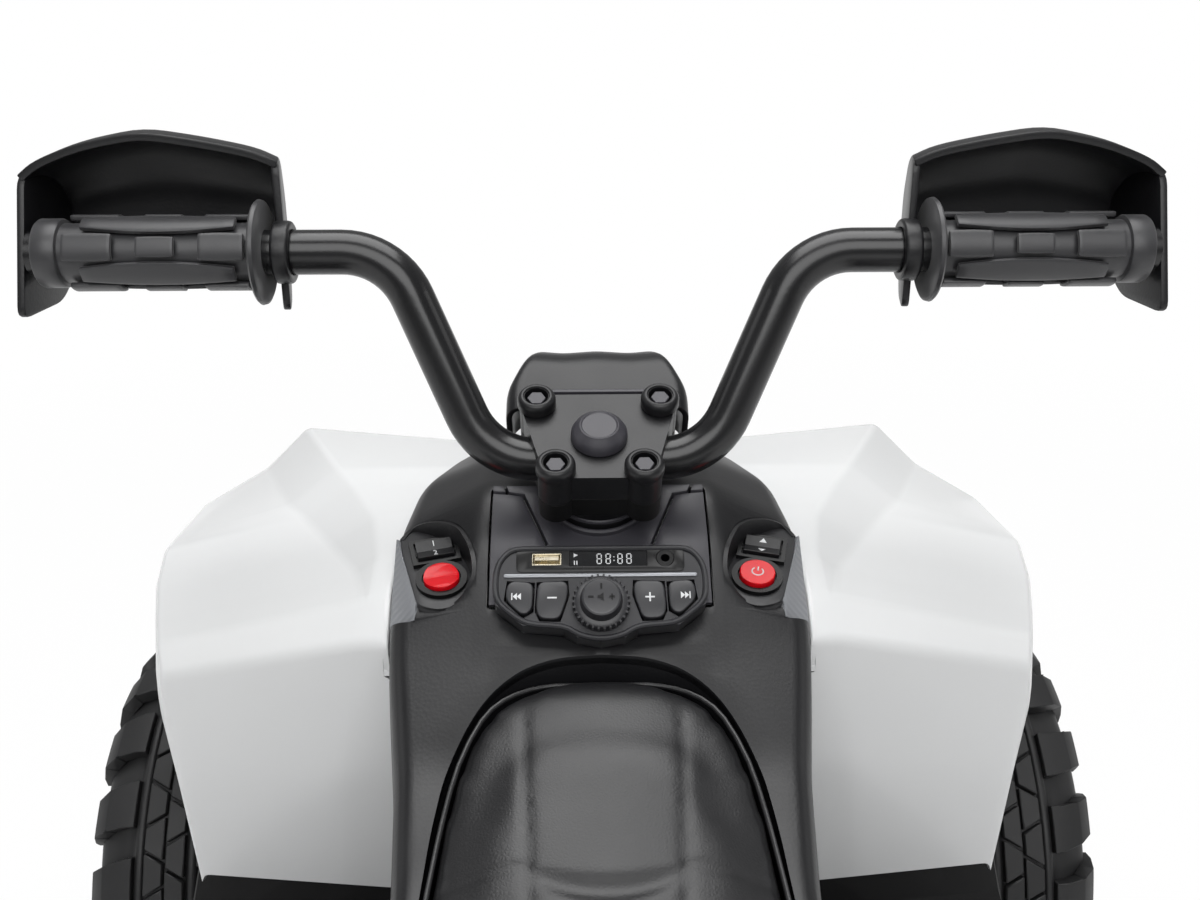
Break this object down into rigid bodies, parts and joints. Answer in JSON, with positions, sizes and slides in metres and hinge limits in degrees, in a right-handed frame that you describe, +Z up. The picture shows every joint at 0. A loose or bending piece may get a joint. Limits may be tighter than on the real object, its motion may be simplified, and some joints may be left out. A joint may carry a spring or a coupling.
{
  "type": "kids quad bike",
  "caption": "Ride-on electric kids quad bike with steering handlebar, hand guards, dash console, padded lift-off seat and knobbly wheels",
  "frame": {"origin": "on the ground under the middle of the bike", "axes": "+Z up, +Y to the front of the bike, +X to the rider's right"},
  "size_m": [0.6, 1.032, 0.6331],
  "materials": {
    "white_panel": "gloss moulded white",
    "black_plastic": "fine grained black",
    "dash_plastic": "fine grained black",
    "console_plastic": "satin black",
    "display_glass": "dark clear window",
    "tyre_tread": "matt black tread",
    "wheel_rim": "satin graphite",
    "black_steel": "satin black paint",
    "zinc_steel": "zinc plated",
    "socket_steel": "bright pressed shell",
    "grip_rubber": "matt moulded rubber",
    "seat_leatherette": "grained leatherette",
    "drive_case": "plain moulded case",
    "red_lens": "clear red",
    "clear_lens": "clear lens"
  },
  "bodies": {
    "chassis": {"chassis_tub": "black_plastic", "front_axle_beam": "black_steel", "kingpin_bolts": "zinc_steel", "rear_drives": "drive_case", "rear_axle": "zinc_steel", "battery": "drive_case", "tank_cover": "black_plastic", "dash_panel": "dash_plastic", "steering_bushes": "black_plastic", "front_fender_left": "white_panel", "front_fender_right": "white_panel", "rear_fender_left": "white_panel", "rear_fender_right": "white_panel", "nose_cowl": "white_panel", "tail_cowl": "black_plastic", "footrests": "black_plastic", "console_housing": "console_plastic", "display_window": "display_glass", "usb_socket": "socket_steel", "aux_socket": "console_plastic", "switch_plates": "black_plastic", "front_bumper": "black_steel", "rear_bumper": "black_steel", "lamp_housings": "black_plastic", "lamp_lenses": "clear_lens", "tail_lamps": "red_lens"},
    "steering": {"handlebar": "black_steel", "grips": "grip_rubber", "hand_guards": "black_plastic", "clamp_cap": "black_plastic", "stem_block": "black_plastic", "clamp_bolts": "zinc_steel", "clamp_dome": "black_plastic", "steering_pod": "black_plastic", "steering_column": "zinc_steel"},
    "knuckle_left": {"knuckle_left": "zinc_steel", "front_drive_left": "drive_case"},
    "knuckle_right": {"knuckle_right": "zinc_steel", "front_drive_right": "drive_case"},
    "tie_rod": {"tie_rod": "zinc_steel"},
    "seat": {"seat_cushion": "seat_leatherette", "seat_pan": "black_plastic"},
    "foot_pedal": {"foot_pedal": "black_plastic"},
    "front_wheel_left": {"tyre_front_left": "tyre_tread", "rim_front_left": "wheel_rim"},
    "front_wheel_right": {"tyre_front_right": "tyre_tread", "rim_front_right": "wheel_rim"},
    "rear_wheel_left": {"tyre_rear_left": "tyre_tread", "rim_rear_left": "wheel_rim"},
    "rear_wheel_right": {"tyre_rear_right": "tyre_tread", "rim_rear_right": "wheel_rim"},
    "drive_mode_rocker": {"drive_mode_rocker": "black_plastic"},
    "direction_rocker": {"direction_rocker": "black_plastic"},
    "light_rocker": {"light_rocker": "red_lens"},
    "power_button": {"power_button": "red_lens"},
    "volume_knob": {"volume_knob": "console_plastic"},
    "console_button_outer_left": {"console_button_outer_left": "console_plastic"},
    "console_button_outer_right": {"console_button_outer_right": "console_plastic"},
    "console_button_inner_left": {"console_button_inner_left": "console_plastic"},
    "console_button_inner_right": {"console_button_inner_right": "console_plastic"}
  },
  "joints": [
    {"name": "steer", "type": "hinge", "parent": "chassis", "child": "steering", "pos_m": [0, 0.143, 0.488], "axis": [0, -0.4226, 0.9063], "range_deg": [-27, 27]},
    {"name": "knuckle_left_turn", "type": "hinge", "parent": "chassis", "child": "knuckle_left", "pos_m": [-0.172, 0.32, 0.142], "axis": [0, 0, 1], "range_deg": [-22, 22]},
    {"name": "knuckle_right_turn", "type": "hinge", "parent": "chassis", "child": "knuckle_right", "pos_m": [0.172, 0.32, 0.142], "axis": [0, 0, 1], "range_deg": [-22, 22]},
    {"name": "tie_rod_swing", "type": "hinge", "parent": "knuckle_left", "child": "tie_rod", "pos_m": [-0.172, 0.268, 0.1221], "axis": [0, 0, 1], "range_deg": [-22, 22]},
    {"name": "front_wheel_left_spin", "type": "hinge", "parent": "knuckle_left", "child": "front_wheel_left", "pos_m": [-0.252, 0.32, 0.142], "axis": [1, 0, 0], "continuous": true},
    {"name": "front_wheel_right_spin", "type": "hinge", "parent": "knuckle_right", "child": "front_wheel_right", "pos_m": [0.252, 0.32, 0.142], "axis": [1, 0, 0], "continuous": true},
    {"name": "rear_wheel_left_spin", "type": "hinge", "parent": "chassis", "child": "rear_wheel_left", "pos_m": [-0.252, -0.32, 0.142], "axis": [1, 0, 0], "continuous": true},
    {"name": "rear_wheel_right_spin", "type": "hinge", "parent": "chassis", "child": "rear_wheel_right", "pos_m": [0.252, -0.32, 0.142], "axis": [1, 0, 0], "continuous": true},
    {"name": "seat_lift", "type": "slide", "parent": "chassis", "child": "seat", "axis": [0, 0, 1], "range_m": [0, 0.12]},
    {"name": "pedal_press", "type": "hinge", "parent": "chassis", "child": "foot_pedal", "pos_m": [0.174, 0.028, 0.16], "axis": [-1, 0, 0], "range_deg": [0, 10], "stiffness_Nm_per_rad": 6, "springref_deg": -5.73},
    {"name": "drive_mode_rocker_tilt", "type": "hinge", "parent": "chassis", "child": "drive_mode_rocker", "pos_m": [-0.07745, 0.14244, 0.44071], "axis": [0.9703, 0.2325, 0.0667], "range_deg": [-7, 7]},
    {"name": "direction_rocker_tilt", "type": "hinge", "parent": "chassis", "child": "direction_rocker", "pos_m": [0.07745, 0.14244, 0.44071], "axis": [0.9703, -0.2325, -0.0667], "range_deg": [-7, 7]},
    {"name": "light_rocker_tilt", "type": "hinge", "parent": "chassis", "child": "light_rocker", "pos_m": [-0.07266, 0.12397, 0.43541], "axis": [0.9703, 0.2325, 0.0667], "range_deg": [-7, 7]},
    {"name": "power_button_press", "type": "slide", "parent": "chassis", "child": "power_button", "axis": [0, 0.2756, -0.9613], "range_m": [0, 0.002], "stiffness_N_per_m": 300, "springref_m": -0.002},
    {"name": "volume_knob_turn", "type": "hinge", "parent": "chassis", "child": "volume_knob", "pos_m": [0, 0.09636, 0.43768], "axis": [0, -0.6639, 0.7478], "range_deg": [-150, 150]},
    {"name": "console_button_outer_left_press", "type": "slide", "parent": "chassis", "child": "console_button_outer_left", "axis": [0, 0.6639, -0.7478], "range_m": [0, 0.0015], "stiffness_N_per_m": 300, "springref_m": -0.002},
    {"name": "console_button_outer_right_press", "type": "slide", "parent": "chassis", "child": "console_button_outer_right", "axis": [0, 0.6639, -0.7478], "range_m": [0, 0.0015], "stiffness_N_per_m": 300, "springref_m": -0.002},
    {"name": "console_button_inner_left_press", "type": "slide", "parent": "chassis", "child": "console_button_inner_left", "axis": [0, 0.6639, -0.7478], "range_m": [0, 0.0015], "stiffness_N_per_m": 300, "springref_m": -0.002},
    {"name": "console_button_inner_right_press", "type": "slide", "parent": "chassis", "child": "console_button_inner_right", "axis": [0, 0.6639, -0.7478], "range_m": [0, 0.0015], "stiffness_N_per_m": 300, "springref_m": -0.002}
  ],
  "couplings": [
    {"joint": "knuckle_left_turn", "follows": "steer", "ratio": 0.76923},
    {"joint": "knuckle_right_turn", "follows": "steer", "ratio": 0.76923},
    {"joint": "tie_rod_swing", "follows": "steer", "ratio": -0.76923}
  ]
}
